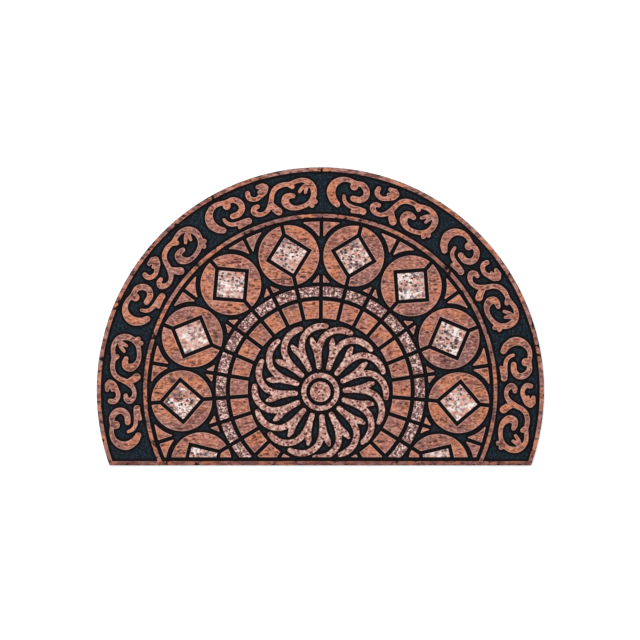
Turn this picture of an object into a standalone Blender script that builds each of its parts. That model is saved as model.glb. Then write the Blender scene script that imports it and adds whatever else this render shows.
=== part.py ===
"""Half-round moulded rubber doormat with a raised mosaic pattern.

The mat is one moulded slab. Its outline is an arc of more than half a circle, closed by a straight edge
that lies against the door sill. The pattern stands proud of a lower ground: a rim, a border of leafy
scrolls, a ring of roundels with a square set on its corner in each, two rings of tiles and a whorl of
forked leaves round a hub.

Metres, +Z up. The origin is on the floor at the middle of the mat's box, and the straight edge faces -Y.
Places in the pattern are polar: an angle in degrees clockwise from +Y, and a radius from the arc's centre.
"""

import math
from collections import namedtuple

import bmesh
import bpy
import numpy as np

# Outline and thickness
OUTER_RADIUS = 0.450
CENTRE_ABOVE_STRAIGHT_EDGE = 0.150
THICKNESS = 0.007
RELIEF_HEIGHT = 0.002
GROUND_HEIGHT = THICKNESS - RELIEF_HEIGHT
MAT_DEPTH = OUTER_RADIUS + CENTRE_ABOVE_STRAIGHT_EDGE
STRAIGHT_EDGE_Y = -MAT_DEPTH / 2
CENTRE_Y = STRAIGHT_EDGE_Y + CENTRE_ABOVE_STRAIGHT_EDGE

# Frame of the pattern: the rim, the band along the straight edge and the ring line inside the scrolls
RIM_INNER_RADIUS = 0.4417
RING_LINE_OUTER_RADIUS = 0.3561
RING_LINE_INNER_RADIUS = 0.3488
STRAIGHT_BAND_TOP_Y = STRAIGHT_EDGE_Y + 0.0085
PATTERN_BOTTOM_Y = STRAIGHT_BAND_TOP_Y + 0.008

# Roundels, with the corner pieces outside and inside them
PATTERN_TURN_DEG = 0.4
ROUNDEL_PITCH_DEG = 27.0
ROUNDEL_COUNT = 10
ROUNDEL_CENTRE_RADIUS = 0.2795
ROUNDEL_RADIUS = 0.061
SQUARE_HALF_DIAGONAL = 0.0375
SQUARE_FRAME_HALF_DIAGONAL = 0.0482
RADIAL_GROOVE_WIDTH = 0.0081
CORNER_PIECE_ARC_RADIUS = 0.0715
CORNER_PIECE_OUTER_RADIUS = 0.3405
CORNER_PIECE_INNER_RADIUS = 0.2185

# Tile rings, whose joints line up with the roundels
TILE_PITCH_DEG = ROUNDEL_PITCH_DEG / 2
TILE_COUNT = 24
PALE_TILE_RADII = (0.1903, 0.2102)
CLAY_TILE_RADII = (0.1462, 0.1815)

# Whorl of leaves and its hub
LEAF_COUNT = 16
LEAF_TURN_DEG = -3.4
WHORL_SHIFT = (0.0, -0.0018)
HUB_RING_RADII = (0.0284, 0.0383)
HUB_DISC_RADIUS = 0.0206

# Scroll border
SCROLL_COUNT = 6
SCROLL_PITCH_DEG = 36.3
SCROLL_MID_RADIUS = 0.398
SCROLL_TURN_DEG = 0.0

# How finely the curves are cut into straight stretches
ARC_STEP_DEG = 4.0
ROUNDEL_STEP_DEG = 15.0
TILE_STEP_DEG = 6.0
CORNER_PIECE_HOLLOW_POINTS = 4
CORNER_PIECE_EDGE_POINTS = 3
CAP_POINTS = 3

# Strokes: points in each span of the fine spine, the step along it, and the metres of it that a radian of
# bend counts for when the steps are shared out. A point of a side that comes nearer to the spine than this
# share of half the stroke's width is dropped.
SPINE_SAMPLES = 12
STROKE_STEP = 0.0165
BEND_WEIGHT = 0.016
SIDE_TOLERANCE = 0.95

# Finishes, as linear colours
RUBBER_COLOUR = (0.018, 0.021, 0.027)
RUBBER_ROUGHNESS = 0.85
FLOCK_COLOUR = (0.39, 0.18, 0.14)
FLOCK_ROUGHNESS = 0.95

# The cutters pass through one another and past the slab's top by this much
CUT_MARGIN = 0.002
WELD_DISTANCE = 1e-6

# Station along a stroke in the scroll border: distance along the middle radius, radius, and stroke width
Station = namedtuple("Station", "along radius width")
# Station along a stroke of a leaf: degrees from the leaf's root line, radius, and stroke width
LeafStation = namedtuple("LeafStation", "degrees radius width")

LEAF_ARM = [
    LeafStation(0.0, 0.0503, 0.0102),
    LeafStation(0.0, 0.0628, 0.0117),
    LeafStation(-0.2, 0.0790, 0.0148),
    LeafStation(2.7, 0.0940, 0.0125),
    LeafStation(6.5, 0.1090, 0.0120),
    LeafStation(12.4, 0.1206, 0.0122),
    LeafStation(19.0, 0.1286, 0.0124),
    LeafStation(26.0, 0.1321, 0.0120),
    LeafStation(31.0, 0.1326, 0.0095),
]
LEAF_LOBE = [
    LeafStation(-1.6, 0.0760, 0.0105),
    LeafStation(-3.4, 0.0890, 0.0115),
    LeafStation(-5.2, 0.0995, 0.0117),
    LeafStation(-5.9, 0.1082, 0.0062),
]

# The branch, the longest stem of a scroll, runs through a hook, an arch and a curl
BRANCH_HOOK = [
    Station(0.1218, 0.3914, 0.0084),
    Station(0.1152, 0.3908, 0.0102),
    Station(0.1106, 0.3842, 0.0122),
    Station(0.1165, 0.3765, 0.0100),
    Station(0.1275, 0.3738, 0.0080),
    Station(0.1385, 0.3775, 0.0090),
    Station(0.1470, 0.3860, 0.0110),
    Station(0.1520, 0.3960, 0.0100),
]
BRANCH_ARCH = [
    Station(0.1565, 0.4070, 0.0090),
    Station(0.1650, 0.4165, 0.0095),
    Station(0.1780, 0.4210, 0.0095),
    Station(0.1940, 0.4210, 0.0084),
    Station(0.2065, 0.4245, 0.0085),
    Station(0.2180, 0.4255, 0.0090),
    Station(0.2300, 0.4205, 0.0110),
    Station(0.2375, 0.4105, 0.0120),
    Station(0.2395, 0.3975, 0.0115),
]
BRANCH_CURL = [
    Station(0.2350, 0.3850, 0.0105),
    Station(0.2250, 0.3765, 0.0090),
    Station(0.2120, 0.3720, 0.0085),
    Station(0.1990, 0.3710, 0.0090),
    Station(0.1872, 0.3750, 0.0120),
    Station(0.1798, 0.3840, 0.0158),
    Station(0.1813, 0.3938, 0.0142),
    Station(0.1890, 0.3970, 0.0118),
    Station(0.1968, 0.3960, 0.0092),
]

# Each scroll is four stems, and the buds, lobes and fingers that grow from them
SCROLL_STEMS = {
    "crook": [
        Station(0.0360, 0.3770, 0.0120),
        Station(0.0265, 0.3860, 0.0150),
        Station(0.0215, 0.4020, 0.0170),
        Station(0.0265, 0.4170, 0.0145),
        Station(0.0385, 0.4265, 0.0110),
        Station(0.0520, 0.4282, 0.0088),
        Station(0.0665, 0.4240, 0.0092),
        Station(0.0810, 0.4225, 0.0110),
        Station(0.0905, 0.4125, 0.0120),
        Station(0.0910, 0.4000, 0.0120),
        Station(0.0810, 0.3920, 0.0120),
        Station(0.0670, 0.3925, 0.0110),
    ],
    "tail": [
        Station(0.0480, 0.3950, 0.0060),
        Station(0.0505, 0.3855, 0.0075),
        Station(0.0580, 0.3785, 0.0080),
        Station(0.0710, 0.3748, 0.0085),
        Station(0.0840, 0.3728, 0.0110),
        Station(0.0938, 0.3706, 0.0128),
    ],
    "cup": [
        Station(0.1118, 0.4235, 0.0090),
        Station(0.1108, 0.4158, 0.0096),
        Station(0.1150, 0.4095, 0.0090),
        Station(0.1245, 0.4065, 0.0085),
        Station(0.1340, 0.4103, 0.0094),
        Station(0.1425, 0.4160, 0.0120),
        Station(0.1455, 0.4235, 0.0145),
    ],
    "branch": BRANCH_HOOK + BRANCH_ARCH + BRANCH_CURL,
}
SCROLL_SPRIGS = {
    "crook_bud": [
        Station(0.0660, 0.4212, 0.0140),
        Station(0.0656, 0.4165, 0.0150),
    ],
    "tail_lobe": [
        Station(0.0870, 0.3690, 0.0085),
        Station(0.0696, 0.3668, 0.0070),
    ],
    "cup_curl": [
        Station(0.1425, 0.4280, 0.0112),
        Station(0.1335, 0.4288, 0.0080),
    ],
    "branch_foot": [
        Station(0.1520, 0.3835, 0.0120),
        Station(0.1562, 0.3758, 0.0145),
        Station(0.1614, 0.3705, 0.0155),
    ],
    "branch_bud": [
        Station(0.1915, 0.4200, 0.0095),
        Station(0.1978, 0.4145, 0.0090),
    ],
    "long_finger": [
        Station(0.2310, 0.4170, 0.0080),
        Station(0.2190, 0.4115, 0.0074),
        Station(0.2106, 0.4028, 0.0060),
    ],
    "lower_lobe": [
        Station(0.2340, 0.3840, 0.0100),
        Station(0.2345, 0.3735, 0.0100),
    ],
}
# These cross the sprigs above, so they are a group of their own
SCROLL_TIPS = {
    "cup_nub": [
        Station(0.1415, 0.4190, 0.0110),
        Station(0.1330, 0.4182, 0.0066),
    ],
    "short_finger": [
        Station(0.2275, 0.4150, 0.0070),
        Station(0.2243, 0.4070, 0.0070),
        Station(0.2223, 0.4002, 0.0056),
    ],
    "side_lobe": [
        Station(0.2355, 0.3870, 0.0100),
        Station(0.2422, 0.3808, 0.0088),
    ],
}


def place(degrees, radius):
    """Points on the mat, from degrees clockwise from +Y and radii from the arc's centre."""
    angle = np.radians(degrees)
    return np.stack([radius * np.sin(angle), CENTRE_Y + radius * np.cos(angle)], axis=-1)


def arc(radius, start_degrees, end_degrees, step_degrees):
    """Points along an arc about the pattern's centre, both ends included."""
    count = max(1, math.ceil(abs(end_degrees - start_degrees) / step_degrees))
    return place(np.linspace(start_degrees, end_degrees, count + 1), radius)


def degrees_to_level(radius, level_y):
    """How far round from +Y an arc of this radius runs before it meets a level line below the centre."""
    return 90 + math.degrees(math.asin((CENTRE_Y - level_y) / radius))


def arc_above(radius, level_y):
    """The arc of this radius above a level line, clockwise, with a point at its top."""
    reach = degrees_to_level(radius, level_y)
    right_half = arc(radius, 0, reach, ARC_STEP_DEG)
    left_half = right_half[:0:-1] * (-1, 1)
    return np.vstack([left_half, right_half])


def full_circle(radius, step_degrees):
    """A closed circle about the pattern's centre."""
    return arc(radius, 0, 360, step_degrees)[:-1]


def smooth_line(rows):
    """A Catmull-Rom curve through rows of numbers, with SPINE_SAMPLES points in each span."""
    rows = np.array(rows, float)
    before = 2 * rows[0] - rows[1]
    after = 2 * rows[-1] - rows[-2]
    knots = np.vstack([before, rows, after])
    t = np.linspace(0, 1, SPINE_SAMPLES, endpoint=False)[:, None]
    spans = []
    for a, b, c, d in zip(knots, knots[1:], knots[2:], knots[3:]):
        cubic = (3 * b - a - 3 * c + d) * t**3
        square = (2 * a - 5 * b + 4 * c - d) * t**2
        spans.append(0.5 * (cubic + square + (c - a) * t + 2 * b))
    return np.vstack([*spans, rows[-1:]])


def spaced_stations(table):
    """Rows of a table about STROKE_STEP apart along its first two columns, closer where they bend."""
    steps = np.diff(table[:, :2], axis=0)
    headings = np.unwrap(np.arctan2(steps[:, 1], steps[:, 0]))
    bends = np.abs(np.gradient(headings))
    lengths = np.linalg.norm(steps, axis=1)
    travelled = np.concatenate([[0], np.cumsum(lengths + BEND_WEIGHT * bends)])
    count = max(2, round(travelled[-1] / STROKE_STEP) + 1)
    wanted = np.linspace(0, travelled[-1], count)
    return np.stack([np.interp(wanted, travelled, column) for column in table.T], axis=1)


def outside_of(points, line):
    """The points that lie outside a stroke: where it bends tightly, its inner side would cross it."""
    distances = np.linalg.norm(points[:, None] - line[None, :, :2], axis=2)
    return points[(distances > SIDE_TOLERANCE * line[:, 2] / 2).all(axis=1)]


def stroke(rows):
    """The outline of a round-ended stroke: rows are x, y and width along its spine."""
    line = smooth_line(rows)
    heading = np.gradient(line[:, :2], axis=0)
    table = spaced_stations(np.hstack([line, heading]))
    spine, half_width, heading = table[:, :2], table[:, 2:3] / 2, table[:, 3:]
    heading /= np.linalg.norm(heading, axis=1)[:, None]
    left = np.stack([-heading[:, 1], heading[:, 0]], axis=1)
    turn = np.linspace(0, math.pi, CAP_POINTS + 2)[1:-1, None]
    end_cap = spine[-1] + half_width[-1] * (left[-1] * np.cos(turn) + heading[-1] * np.sin(turn))
    start_cap = spine[0] - half_width[0] * (left[0] * np.cos(turn) + heading[0] * np.sin(turn))
    left_side = outside_of(spine + left * half_width, line)
    right_side = outside_of(spine - left * half_width, line)
    return np.vstack([left_side, end_cap, right_side[::-1], start_cap])


def crossing(start, end, level_y):
    """Where the line from start to end meets the level line."""
    share = (level_y - start[1]) / (end[1] - start[1])
    return start + share * (end - start)


def runs_above(outline, level_y):
    """The stretches of an outline above a level line, from each rise through the line to the next fall."""
    above = outline[:, 1] > level_y
    first_rise = int(np.flatnonzero(above & ~np.roll(above, 1))[0])
    outline = np.roll(outline, -first_rise, axis=0)
    above = np.roll(above, -first_rise)
    runs = []
    for index in np.flatnonzero(above):
        following = (index + 1) % len(outline)
        if not above[index - 1]:
            runs.append([crossing(outline[index - 1], outline[index], level_y)])
        runs[-1].append(outline[index])
        if not above[following]:
            runs[-1].append(crossing(outline[index], outline[following], level_y))
    return runs


def above_level(outline, level_y):
    """The parts of an outline above a level line, each closed along it."""
    above = outline[:, 1] > level_y
    if above.all():
        return [outline]
    if not above.any():
        return []
    runs = runs_above(outline, level_y)
    # Crossings pair off along the line, and the closed edge follows it from a sinking run to a rising one
    crossings = [run[0][0] for run in runs] + [run[-1][0] for run in runs]
    along_line = [int(index) for index in np.argsort(crossings)]
    parts, waiting = [], set(range(len(runs)))
    while waiting:
        part, run = [], min(waiting)
        while run in waiting:
            waiting.remove(run)
            part += runs[run]
            sinking = along_line.index(run + len(runs))
            run = along_line[sinking ^ 1]
        parts.append(np.array(part))
    return parts


def border_ground():
    """The low ground of the scroll border, between the rim, the ring line and the straight band."""
    outer = arc_above(RIM_INNER_RADIUS, STRAIGHT_BAND_TOP_Y)
    inner = arc_above(RING_LINE_OUTER_RADIUS, STRAIGHT_BAND_TOP_Y)
    return np.vstack([outer, inner[::-1]])


def field_ground():
    """The low ground inside the ring line."""
    return arc_above(RING_LINE_INNER_RADIUS, STRAIGHT_BAND_TOP_Y)


def mat_outline():
    """The outside of the mat: its arc, closed by the straight edge."""
    return arc_above(OUTER_RADIUS, STRAIGHT_EDGE_Y)


def tile(radii, joint_degrees):
    """One tile of a ring, from a joint to the next, with sides parallel to the radial joints."""
    inner, outer = radii
    ends = []
    for radius in (inner, outer):
        joint = math.degrees(math.asin(RADIAL_GROOVE_WIDTH / 2 / radius))
        start, end = joint_degrees + joint, joint_degrees + TILE_PITCH_DEG - joint
        ends.append(arc(radius, start, end, TILE_STEP_DEG))
    return np.vstack([ends[1], ends[0][::-1]])


def tile_ring(radii):
    """All tiles of a ring, the last ones cut off along the straight edge."""
    outlines = []
    for index in range(-TILE_COUNT // 2, TILE_COUNT // 2):
        joint_degrees = PATTERN_TURN_DEG + index * TILE_PITCH_DEG
        outlines += above_level(tile(radii, joint_degrees), PATTERN_BOTTOM_Y)
    return outlines


def beside(degrees, outward, across):
    """Points given outward along the radial line at these degrees, and across it clockwise."""
    angle = math.radians(degrees)
    x = outward * math.sin(angle) + across * math.cos(angle)
    y = outward * math.cos(angle) - across * math.sin(angle)
    return np.stack([x, CENTRE_Y + y], axis=-1)


def roundel_half(degrees, side):
    """Half a roundel, on one side of its radial joint, notched by the frame of its square."""
    joint = RADIAL_GROOVE_WIDTH / 2
    start = math.degrees(math.asin(joint / ROUNDEL_RADIUS))
    count = math.ceil(180 / ROUNDEL_STEP_DEG)
    turn = np.radians(np.linspace(start, 180 - start, count + 1))
    reach = SQUARE_FRAME_HALF_DIAGONAL
    notch_outward = np.array([joint - reach, 0, reach - joint])
    notch_across = np.array([joint, reach, joint])
    outward = np.concatenate([ROUNDEL_RADIUS * np.cos(turn), notch_outward])
    across = np.concatenate([ROUNDEL_RADIUS * np.sin(turn), notch_across])
    return beside(degrees, ROUNDEL_CENTRE_RADIUS + outward, side * across)


def roundel_square(degrees):
    """The square in a roundel, set on its corner."""
    turn = np.radians(np.arange(0, 360, 90))
    outward = ROUNDEL_CENTRE_RADIUS + SQUARE_HALF_DIAGONAL * np.cos(turn)
    return beside(degrees, outward, SQUARE_HALF_DIAGONAL * np.sin(turn))


def corner_piece(degrees, side, edge_radius):
    """The three-cornered piece between a roundel, the joint beside it and the circle of edge_radius."""
    half_pitch = math.radians(ROUNDEL_PITCH_DEG / 2)
    joint = RADIAL_GROOVE_WIDTH / 2
    hollow, centre = CORNER_PIECE_ARC_RADIUS, ROUNDEL_CENTRE_RADIUS
    outside = math.copysign(1, edge_radius - centre)
    # Where the hollow side meets the edge circle, and where it meets the joint
    tip = math.acos((edge_radius**2 - centre**2 - hollow**2) / (2 * centre * hollow))
    away = centre * math.sin(half_pitch) - joint
    root = half_pitch + math.pi / 2 - outside * math.acos(away / hollow)
    turn = np.linspace(tip, root, CORNER_PIECE_HOLLOW_POINTS)
    outward = centre + hollow * np.cos(turn)
    across = side * hollow * np.sin(turn)
    hollow_side = beside(degrees, outward, across)
    tip_degrees = math.degrees(math.atan2(hollow * math.sin(tip), centre + hollow * math.cos(tip)))
    joint_degrees = ROUNDEL_PITCH_DEG / 2 - math.degrees(math.asin(joint / edge_radius))
    edge_degrees = np.linspace(joint_degrees, tip_degrees, CORNER_PIECE_EDGE_POINTS)
    edge = place(degrees + side * edge_degrees, edge_radius)
    return np.vstack([hollow_side, edge[:-1]])


def roundel_ring():
    """Every roundel with its square and its four corner pieces, cut off along the straight edge."""
    outlines = []
    for index in range(ROUNDEL_COUNT):
        degrees = PATTERN_TURN_DEG + (index + 0.5 - ROUNDEL_COUNT / 2) * ROUNDEL_PITCH_DEG
        pieces = [roundel_square(degrees)]
        for side in (-1, 1):
            pieces.append(roundel_half(degrees, side))
            pieces.append(corner_piece(degrees, side, CORNER_PIECE_OUTER_RADIUS))
            pieces.append(corner_piece(degrees, side, CORNER_PIECE_INNER_RADIUS))
        for piece in pieces:
            outlines += above_level(piece, PATTERN_BOTTOM_Y)
    return outlines


def leaf_strokes(rows):
    """One stroke of every leaf of the whorl."""
    outlines = []
    for index in range(LEAF_COUNT):
        root_degrees = LEAF_TURN_DEG + index * 360 / LEAF_COUNT
        line = [(*place(root_degrees + row.degrees, row.radius), row.width) for row in rows]
        outlines += above_level(stroke(line) + WHORL_SHIFT, PATTERN_BOTTOM_Y)
    return outlines


def scroll_strokes(strokes):
    """These strokes in every repeat of the scroll border, bent round the arc."""
    outlines = []
    for index in range(SCROLL_COUNT):
        start_degrees = SCROLL_TURN_DEG + (index - SCROLL_COUNT / 2) * SCROLL_PITCH_DEG
        for rows in strokes.values():
            flat = stroke(rows)
            degrees = start_degrees + np.degrees(flat[:, 0] / SCROLL_MID_RADIUS)
            outlines.append(place(degrees, flat[:, 1]))
    return outlines


def collection_named(name):
    collection = bpy.data.collections.new(name)
    bpy.context.scene.collection.children.link(collection)
    return collection


def material(name, colour, roughness):
    made = bpy.data.materials.new(name)
    made.use_nodes = True
    shader = made.node_tree.nodes["Principled BSDF"]
    shader.inputs["Base Color"].default_value = (*colour, 1)
    shader.inputs["Roughness"].default_value = roughness
    shader.inputs["Metallic"].default_value = 0
    return made


def flat_solid(name, outlines, bottom, top, collection):
    """Outlines filled and given a thickness: a 2D curve made into a mesh with its caps welded on."""
    curve = bpy.data.curves.new(name, "CURVE")
    curve.dimensions = "2D"
    curve.fill_mode = "BOTH"
    curve.extrude = (top - bottom) / 2
    for outline in outlines:
        spline = curve.splines.new("POLY")
        spline.points.add(len(outline) - 1)
        spline.use_cyclic_u = True
        for point, (x, y) in zip(spline.points, outline):
            point.co = (x, y, 0, 1)
    drawn = bpy.data.objects.new(name + "_curve", curve)
    drawn.location.z = (bottom + top) / 2
    collection.objects.link(drawn)
    bpy.context.view_layer.update()
    evaluated = drawn.evaluated_get(bpy.context.evaluated_depsgraph_get())
    mesh = bpy.data.meshes.new_from_object(evaluated)
    mesh.name = name
    edit = bmesh.new()
    edit.from_mesh(mesh)
    bmesh.ops.remove_doubles(edit, verts=edit.verts, dist=WELD_DISTANCE)
    bmesh.ops.recalc_face_normals(edit, faces=edit.faces)
    edit.to_mesh(mesh)
    edit.free()
    solid = bpy.data.objects.new(name, mesh)
    solid.matrix_world = drawn.matrix_world
    collection.objects.link(solid)
    bpy.data.objects.remove(drawn)
    return solid


def cut(solid, cutter):
    """Takes the cutter's shape out of the solid."""
    modifier = solid.modifiers.new(cutter.name, "BOOLEAN")
    modifier.operation = "DIFFERENCE"
    modifier.solver = "EXACT"
    modifier.material_mode = "TRANSFER"
    modifier.object = cutter


def ground_cutter(name, outline, raised_groups, cutters, rubber):
    """One stretch of low ground, to be cut from the mat, less the groups that are left raised."""
    low, high = GROUND_HEIGHT, THICKNESS + CUT_MARGIN
    ground = flat_solid(name, [outline], low, high, cutters)
    guides = [ground]
    for group_name, outlines in raised_groups.items():
        raised = flat_solid(group_name, outlines, low - CUT_MARGIN, high + CUT_MARGIN, cutters)
        cut(ground, raised)
        guides.append(raised)
    for guide in guides:
        guide.data.materials.append(rubber)
        guide.hide_render = True
        guide.display_type = "WIRE"
    return ground


def main():
    for old in list(bpy.data.objects):
        bpy.data.objects.remove(old)
    parts = collection_named("half_round_doormat")
    cutters = collection_named("cutters")
    rubber = material("charcoal_rubber", RUBBER_COLOUR, RUBBER_ROUGHNESS)
    flock = material("clay_flock", FLOCK_COLOUR, FLOCK_ROUGHNESS)

    scrolls = {
        "scroll_stems": scroll_strokes(SCROLL_STEMS),
        "scroll_sprigs": scroll_strokes(SCROLL_SPRIGS),
        "scroll_tips": scroll_strokes(SCROLL_TIPS),
    }
    hub_radii = (*HUB_RING_RADII, HUB_DISC_RADIUS)
    hub = [full_circle(radius, ROUNDEL_STEP_DEG) + WHORL_SHIFT for radius in hub_radii]
    tiles = tile_ring(PALE_TILE_RADII) + tile_ring(CLAY_TILE_RADII)
    mosaic = {
        "roundels_and_tiles": roundel_ring() + tiles,
        "hub_and_leaves": hub + leaf_strokes(LEAF_ARM),
        "leaf_lobes": leaf_strokes(LEAF_LOBE),
    }

    mat = flat_solid("mat", [mat_outline()], 0, THICKNESS, parts)
    mat.data.materials.append(rubber)
    mat.data.materials.append(flock)
    for face in mat.data.polygons:
        face.material_index = int(face.normal.z > 0.5)
    cut(mat, ground_cutter("border_ground", border_ground(), scrolls, cutters, rubber))
    cut(mat, ground_cutter("field_ground", field_ground(), mosaic, cutters, rubber))


main()
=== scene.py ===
"""Half-round moulded rubber doormat: the finished surfaces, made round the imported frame.

The mat is a low rubber base whose ground lies 5 mm up. On it stand the raised pieces, 2 mm higher, each
with a short flock that is printed like stone. Metres, +Z up, the straight edge faces -Y. Places in the
pattern are polar: an angle in degrees clockwise from +Y, and a radius from the centre of the arc.
"""

import functools
import math
from collections import namedtuple
from itertools import chain, product

import bpy
import numpy as np
from bpy.props import FloatProperty, FloatVectorProperty, PointerProperty
from mathutils.geometry import delaunay_2d_cdt
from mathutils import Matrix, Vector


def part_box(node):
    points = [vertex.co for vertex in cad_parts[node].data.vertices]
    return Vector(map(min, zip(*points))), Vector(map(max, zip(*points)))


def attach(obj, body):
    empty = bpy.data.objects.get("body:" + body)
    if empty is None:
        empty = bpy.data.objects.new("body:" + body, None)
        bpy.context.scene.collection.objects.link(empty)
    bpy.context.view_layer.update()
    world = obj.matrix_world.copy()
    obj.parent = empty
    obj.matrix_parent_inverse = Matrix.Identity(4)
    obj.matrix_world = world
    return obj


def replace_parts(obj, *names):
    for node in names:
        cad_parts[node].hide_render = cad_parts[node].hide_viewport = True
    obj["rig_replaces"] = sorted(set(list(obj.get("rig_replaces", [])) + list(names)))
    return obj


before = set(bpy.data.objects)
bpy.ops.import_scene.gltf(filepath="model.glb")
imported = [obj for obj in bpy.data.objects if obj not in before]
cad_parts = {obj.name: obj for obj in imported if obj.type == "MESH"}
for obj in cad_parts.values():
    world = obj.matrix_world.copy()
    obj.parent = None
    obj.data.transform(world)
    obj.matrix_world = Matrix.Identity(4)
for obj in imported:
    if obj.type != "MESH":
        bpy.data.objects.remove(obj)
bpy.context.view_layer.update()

bl_info = {
    "name": "Half-Round Doormat",
    "version": (1, 0, 0),
    "blender": (4, 5, 0),
    "location": "View3D > Sidebar > Doormat",
    "description": "Makes a half-round rubber doormat with a raised mosaic pattern",
    "category": "Add Mesh",
}

NODE = "mat"
BODY = "root"
NODE_LOW, NODE_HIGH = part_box(NODE)

# Heights above the floor
TOP_HEIGHT = NODE_HIGH[2]
RELIEF_HEIGHT = 0.002
GROUND_HEIGHT = TOP_HEIGHT - RELIEF_HEIGHT

# Outline
OUTER_RADIUS = 0.450
STRAIGHT_EDGE_Y = NODE_LOW[1]
CENTRE_Y = STRAIGHT_EDGE_Y + 0.150

# Frame of the pattern: the rim, the band along the straight edge and the ring line inside the scrolls
RIM_INNER_RADIUS = 0.4417
RING_LINE_OUTER_RADIUS = 0.3561
RING_LINE_INNER_RADIUS = 0.3488
STRAIGHT_BAND_TOP_Y = STRAIGHT_EDGE_Y + 0.0085
PATTERN_BOTTOM_Y = STRAIGHT_BAND_TOP_Y + 0.008

# Roundels, with the corner pieces outside and inside them
PATTERN_TURN_DEG = 0.4
ROUNDEL_PITCH_DEG = 27.0
ROUNDEL_COUNT = 10
ROUNDEL_CENTRE_RADIUS = 0.2795
ROUNDEL_RADIUS = 0.061
SQUARE_HALF_DIAGONAL = 0.0375
SQUARE_FRAME_HALF_DIAGONAL = 0.0482
RADIAL_GROOVE_WIDTH = 0.0081
CORNER_PIECE_ARC_RADIUS = 0.0715
CORNER_PIECE_OUTER_RADIUS = 0.3405
CORNER_PIECE_INNER_RADIUS = 0.2185

# Tile rings, whose joints line up with the roundels
TILE_PITCH_DEG = ROUNDEL_PITCH_DEG / 2
TILE_COUNT = 24
GRANITE_TILE_RADII = (0.1903, 0.2102)
CLAY_TILE_RADII = (0.1462, 0.1815)

# Whorl of leaves and its hub
LEAF_COUNT = 16
LEAF_TURN_DEG = -3.4
WHORL_SHIFT = (0.0, -0.0018)
HUB_RING_RADII = (0.0284, 0.0383)
HUB_DISC_RADIUS = 0.0206

# Scroll border
SCROLL_COUNT = 6
SCROLL_PITCH_DEG = 36.3
SCROLL_MID_RADIUS = 0.398

# How finely outlines are drawn, in metres
CHORD = 0.003
SPINE_SAMPLES = 12
CAP_POINTS = 20
FINE_STEP = 0.0007
EASING_ROUNDS = 100
OUTLINE_STEP = 0.006
OUTLINE_BEND_WEIGHT = 0.021
SAME_POINT = 1e-6
KEEP_INSIDE = 1
FEWEST_POINTS = 8
INSET_SHARE = 0.75
ROOM_STEP = 0.0015
ROOM_FROM = 0.001
SMALLEST_TRIANGLE = 1e-9
SMALLEST_AREA = 2e-6

# Ground: distances from the raised pieces are worked out on a square grid, up to a reach
GRID_CELL = 0.001
GRID_REACH = 0.008
GROUND_CLEARANCE = 0.0015
GROUND_EDGE_CLEARANCE = 0.003
RAISED_FOOT = 0.00055

# Row of a profile: millimetres outward from the outline, and millimetres above the floor
Row = namedtuple("Row", "outward height")
RAISED_PROFILE = [
    Row(0.00, 4.60),
    Row(0.60, 4.98),
    Row(0.26, 5.12),
    Row(0.08, 5.45),
    Row(0.00, 6.10),
    Row(-0.08, 6.50),
    Row(-0.30, 6.80),
    Row(-0.65, 6.92),
    Row(-1.20, 6.98),
    Row(-2.20, 7.00),
]
RIM_SIDE_PROFILE = [
    Row(-0.60, 3.80),
    Row(-0.20, 4.00),
    Row(0.00, 4.30),
    Row(0.00, 5.20),
    Row(0.00, 5.95),
    Row(-0.15, 6.30),
    Row(-0.45, 6.50),
    Row(-0.95, 6.70),
    Row(-1.60, 6.85),
    Row(-2.50, 7.00),
]
BASE_SIDE_PROFILE = [
    Row(-1.20, 0.00),
    Row(-0.50, 0.10),
    Row(-0.12, 0.40),
    Row(0.00, 0.95),
    Row(0.00, 4.00),
    Row(-0.25, 4.40),
    Row(-0.70, 4.80),
    Row(-1.40, 5.00),
]

# Station of a stroke in the scroll border: distance along the middle radius, radius, and stroke width
Station = namedtuple("Station", "along radius width")
# Station of a stroke of a leaf: degrees from the leaf's root line, radius, and stroke width
LeafStation = namedtuple("LeafStation", "degrees radius width")

LEAF_STROKES = {
    "arm": [
        LeafStation(0.0, 0.0503, 0.0102),
        LeafStation(0.0, 0.0628, 0.0117),
        LeafStation(-0.2, 0.0790, 0.0148),
        LeafStation(2.7, 0.0940, 0.0125),
        LeafStation(6.5, 0.1090, 0.0120),
        LeafStation(12.4, 0.1206, 0.0122),
        LeafStation(19.0, 0.1286, 0.0124),
        LeafStation(26.0, 0.1321, 0.0120),
        LeafStation(31.0, 0.1326, 0.0095),
    ],
    "lobe": [
        LeafStation(-1.6, 0.0760, 0.0105),
        LeafStation(-3.4, 0.0890, 0.0115),
        LeafStation(-5.2, 0.0995, 0.0117),
        LeafStation(-5.9, 0.1082, 0.0062),
    ],
}

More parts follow.
